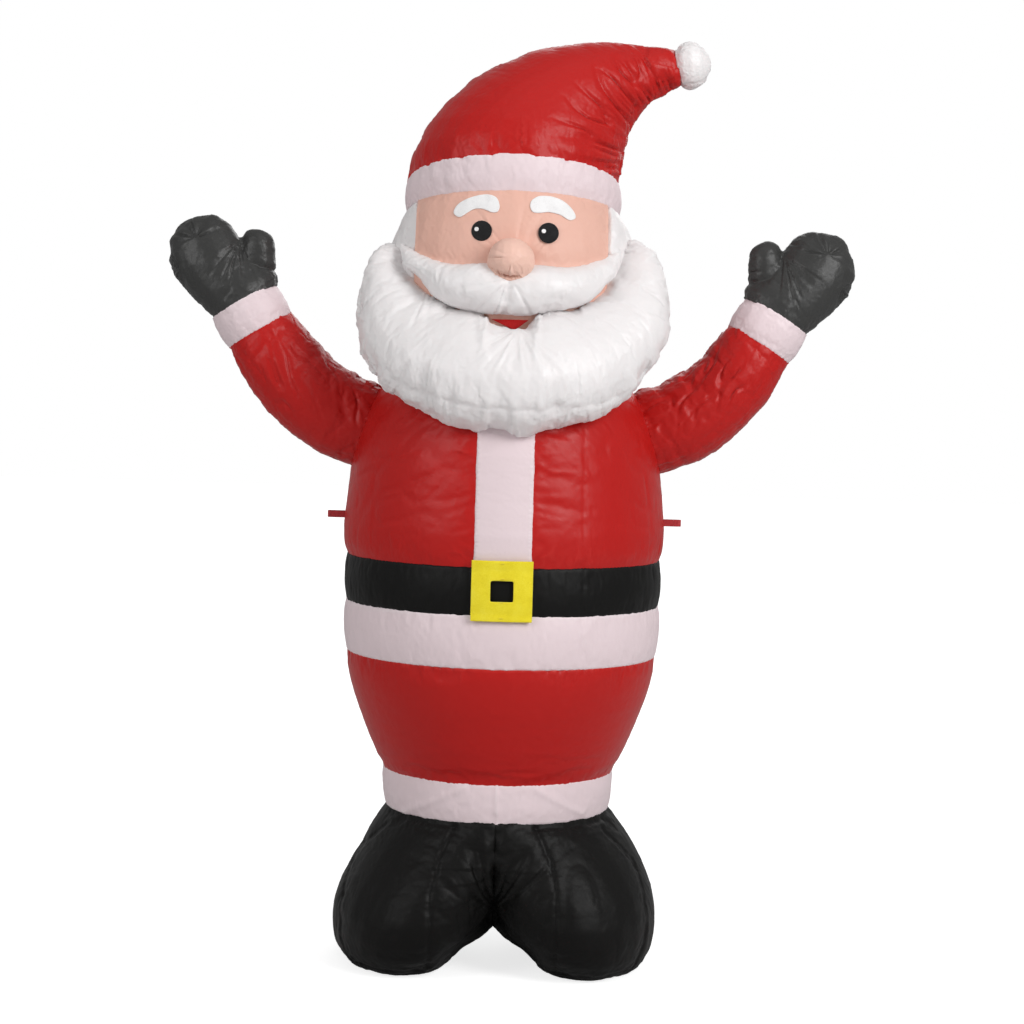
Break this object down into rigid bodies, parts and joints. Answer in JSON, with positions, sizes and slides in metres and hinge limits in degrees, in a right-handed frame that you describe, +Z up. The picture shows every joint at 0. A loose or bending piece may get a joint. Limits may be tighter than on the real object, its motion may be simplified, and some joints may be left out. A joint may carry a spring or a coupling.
{
  "type": "inflatable santa",
  "caption": "Air-filled nylon garden figure in a red coat and drooping hat, with raised mittened arms, a puffed beard, a belt with a felt buckle, rounded boots and side tether loops.",
  "frame": {"origin": "on the floor under the middle of the figure's bounding box", "axes": "+Z up through the hat; the figure faces -Y; +X is the figure's own left, the side the hat droops to"},
  "size_m": [0.8936, 0.449, 1.2003],
  "materials": {
    "red_nylon": "thin glossy taffeta",
    "white_nylon": "thin satin taffeta",
    "hair_nylon": "thin satin taffeta",
    "black_nylon": "thin satin taffeta",
    "skin_nylon": "thin satin taffeta",
    "yellow_felt": "matt felt",
    "white_felt": "matt felt",
    "eye_black": "smooth print",
    "mouth_red": "satin taffeta",
    "red_tape": "woven tape"
  },
  "bodies": {
    "root": {"boot_left": "black_nylon", "boot_right": "black_nylon", "trouser_band": "white_nylon", "coat_skirt": "red_nylon", "hem_band": "white_nylon", "belt": "black_nylon", "coat": "red_nylon", "placket": "white_nylon", "arm_left": "red_nylon", "cuff_left": "white_nylon", "mitten_left": "black_nylon", "arm_right": "red_nylon", "cuff_right": "white_nylon", "mitten_right": "black_nylon", "buckle": "yellow_felt", "tether_loop_left": "red_tape", "tether_loop_right": "red_tape", "head": "hair_nylon", "face": "skin_nylon", "hat_band": "white_nylon", "hat": "red_nylon", "pompom": "hair_nylon", "brow_left": "white_felt", "eye_left": "eye_black", "brow_right": "white_felt", "eye_right": "eye_black", "mouth": "mouth_red", "nose": "skin_nylon", "moustache": "hair_nylon", "beard": "hair_nylon"}
  },
  "joints": []
}
